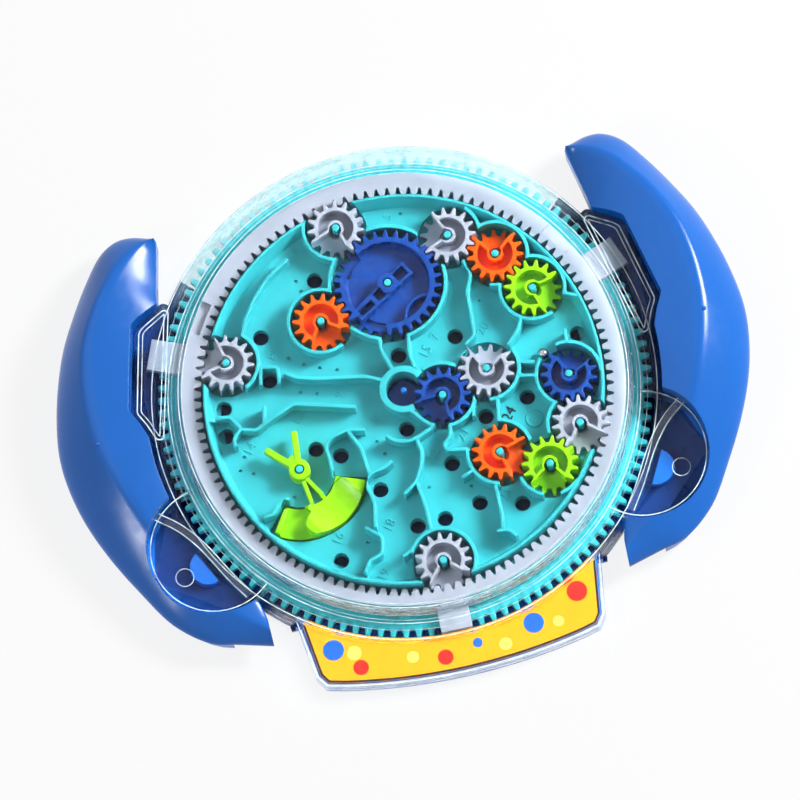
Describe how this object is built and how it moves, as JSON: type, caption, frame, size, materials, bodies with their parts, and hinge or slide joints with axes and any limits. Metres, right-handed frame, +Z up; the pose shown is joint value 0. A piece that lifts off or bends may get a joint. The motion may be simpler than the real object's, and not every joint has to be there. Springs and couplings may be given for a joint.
{
  "type": "gear ball maze",
  "caption": "Round two-handed ball maze: thumbs turn a toothed drum whose maze carries meshing gears inside a fixed toothed ring, under a clear cover between crescent handles.",
  "frame": {"origin": "on the drum's axis, at the centre of the flat underside that the toy rests on", "axes": "+X to the right handle, +Y to the side away from the label, +Z up through the clear window"},
  "size_m": [0.2864, 0.2273, 0.0275],
  "materials": {
    "base": "glossy blue plastic",
    "cyan": "satin cyan plastic",
    "grey": "satin pale grey plastic",
    "orange": "glossy orange plastic",
    "lime": "glossy lime plastic",
    "blue": "glossy dark blue plastic",
    "clear": "clear polished plastic",
    "card": "printed yellow card",
    "steel": "bright steel"
  },
  "bodies": {
    "housing": {"base_tray": "base", "sun_pinion": "blue", "ring_gear": "grey", "clear_cover": "clear", "handle_cover_left": "base", "handle_cover_right": "base", "label_card": "card", "handle_screw_left_1": "steel", "handle_screw_left_2": "steel", "handle_screw_left_3": "steel", "handle_screw_right_1": "steel", "handle_screw_right_2": "steel", "handle_screw_right_3": "steel", "tab_screw_right": "steel", "tab_screw_left": "steel"},
    "drum": {"maze_drum": "cyan"},
    "gear_grey_1": {"gear_grey_1": "grey"},
    "gear_grey_2": {"gear_grey_2": "grey"},
    "gear_grey_3": {"gear_grey_3": "grey"},
    "gear_grey_4": {"gear_grey_4": "grey"},
    "gear_blue_big": {"gear_blue_big": "blue"},
    "gear_grey_5": {"gear_grey_5": "grey"},
    "gear_orange_1": {"gear_orange_1": "orange"},
    "gear_orange_2": {"gear_orange_2": "orange"},
    "gear_lime_1": {"gear_lime_1": "lime"},
    "gear_blue_1": {"gear_blue_1": "blue"},
    "gear_lime_2": {"gear_lime_2": "lime"},
    "gear_orange_3": {"gear_orange_3": "orange"},
    "gear_blue_2": {"gear_blue_2": "blue"},
    "gear_grey_6": {"gear_grey_6": "grey"},
    "lever": {"tilt_lever": "lime"},
    "ball": {"steel_ball": "steel"}
  },
  "joints": [
    {"name": "drum_spin", "type": "hinge", "parent": "housing", "child": "drum", "pos_m": [0, 0, 0.01], "axis": [0, 0, 1], "continuous": true},
    {"name": "gear_grey_1_spin", "type": "hinge", "parent": "drum", "child": "gear_grey_1", "pos_m": [-0.01276, 0.07238, 0.012], "axis": [0, 0, 1], "continuous": true},
    {"name": "gear_grey_2_spin", "type": "hinge", "parent": "drum", "child": "gear_grey_2", "pos_m": [-0.06834, 0.02706, 0.012], "axis": [0, 0, 1], "continuous": true},
    {"name": "gear_grey_3_spin", "type": "hinge", "parent": "drum", "child": "gear_grey_3", "pos_m": [0.06725, -0.02966, 0.012], "axis": [0, 0, 1], "continuous": true},
    {"name": "gear_grey_4_spin", "type": "hinge", "parent": "drum", "child": "gear_grey_4", "pos_m": [0.00064, -0.0735, 0.012], "axis": [0, 0, 1], "continuous": true},
    {"name": "gear_blue_big_spin", "type": "hinge", "parent": "drum", "child": "gear_blue_big", "pos_m": [0.00308, 0.04516, 0.012], "axis": [0, 0, 1], "continuous": true},
    {"name": "gear_grey_5_spin", "type": "hinge", "parent": "drum", "child": "gear_grey_5", "pos_m": [0.03122, 0.05931, 0.012], "axis": [0, 0, 1], "continuous": true},
    {"name": "gear_orange_1_spin", "type": "hinge", "parent": "drum", "child": "gear_orange_1", "pos_m": [-0.02689, 0.03548, 0.012], "axis": [0, 0, 1], "continuous": true},
    {"name": "gear_orange_2_spin", "type": "hinge", "parent": "drum", "child": "gear_orange_2", "pos_m": [0.04847, 0.04733, 0.012], "axis": [0, 0, 1], "continuous": true},
    {"name": "gear_lime_1_spin", "type": "hinge", "parent": "drum", "child": "gear_lime_1", "pos_m": [0.06027, 0.02996, 0.012], "axis": [0, 0, 1], "continuous": true},
    {"name": "gear_blue_1_spin", "type": "hinge", "parent": "drum", "child": "gear_blue_1", "pos_m": [0.06707, -0.00866, 0.012], "axis": [0, 0, 1], "continuous": true},
    {"name": "gear_lime_2_spin", "type": "hinge", "parent": "drum", "child": "gear_lime_2", "pos_m": [0.05159, -0.04366, 0.012], "axis": [0, 0, 1], "continuous": true},
    {"name": "gear_orange_3_spin", "type": "hinge", "parent": "drum", "child": "gear_orange_3", "pos_m": [0.03277, -0.03435, 0.012], "axis": [0, 0, 1], "continuous": true},
    {"name": "gear_blue_2_spin", "type": "hinge", "parent": "drum", "child": "gear_blue_2", "pos_m": [0.01502, -0.0058, 0.012], "axis": [0, 0, 1], "continuous": true},
    {"name": "gear_grey_6_spin", "type": "hinge", "parent": "drum", "child": "gear_grey_6", "pos_m": [0.03485, 0.00111, 0.012], "axis": [0, 0, 1], "continuous": true},
    {"name": "lever_tilt", "type": "hinge", "parent": "drum", "child": "lever", "pos_m": [-0.0485, -0.0233, 0.012], "axis": [0, 0, 1], "range_deg": [-4, 4]},
    {"name": "ball_roll", "type": "slide", "parent": "drum", "child": "ball", "axis": [-0.1668, 0.986, 0], "range_m": [0, 0.009]}
  ],
  "couplings": [
    {"joint": "gear_grey_1_spin", "follows": "drum_spin", "ratio": -8},
    {"joint": "gear_grey_2_spin", "follows": "drum_spin", "ratio": -8},
    {"joint": "gear_grey_3_spin", "follows": "drum_spin", "ratio": -8},
    {"joint": "gear_grey_4_spin", "follows": "drum_spin", "ratio": -8},
    {"joint": "gear_blue_big_spin", "follows": "drum_spin", "ratio": 4},
    {"joint": "gear_grey_5_spin", "follows": "drum_spin", "ratio": -8},
    {"joint": "gear_orange_1_spin", "follows": "drum_spin", "ratio": -8},
    {"joint": "gear_orange_2_spin", "follows": "drum_spin", "ratio": 8},
    {"joint": "gear_lime_1_spin", "follows": "drum_spin", "ratio": -8},
    {"joint": "gear_blue_1_spin", "follows": "drum_spin", "ratio": 8},
    {"joint": "gear_lime_2_spin", "follows": "drum_spin", "ratio": 8},
    {"joint": "gear_orange_3_spin", "follows": "drum_spin", "ratio": -8},
    {"joint": "gear_blue_2_spin", "follows": "drum_spin", "ratio": 0.53333},
    {"joint": "gear_grey_6_spin", "follows": "drum_spin", "ratio": -0.53333}
  ]
}
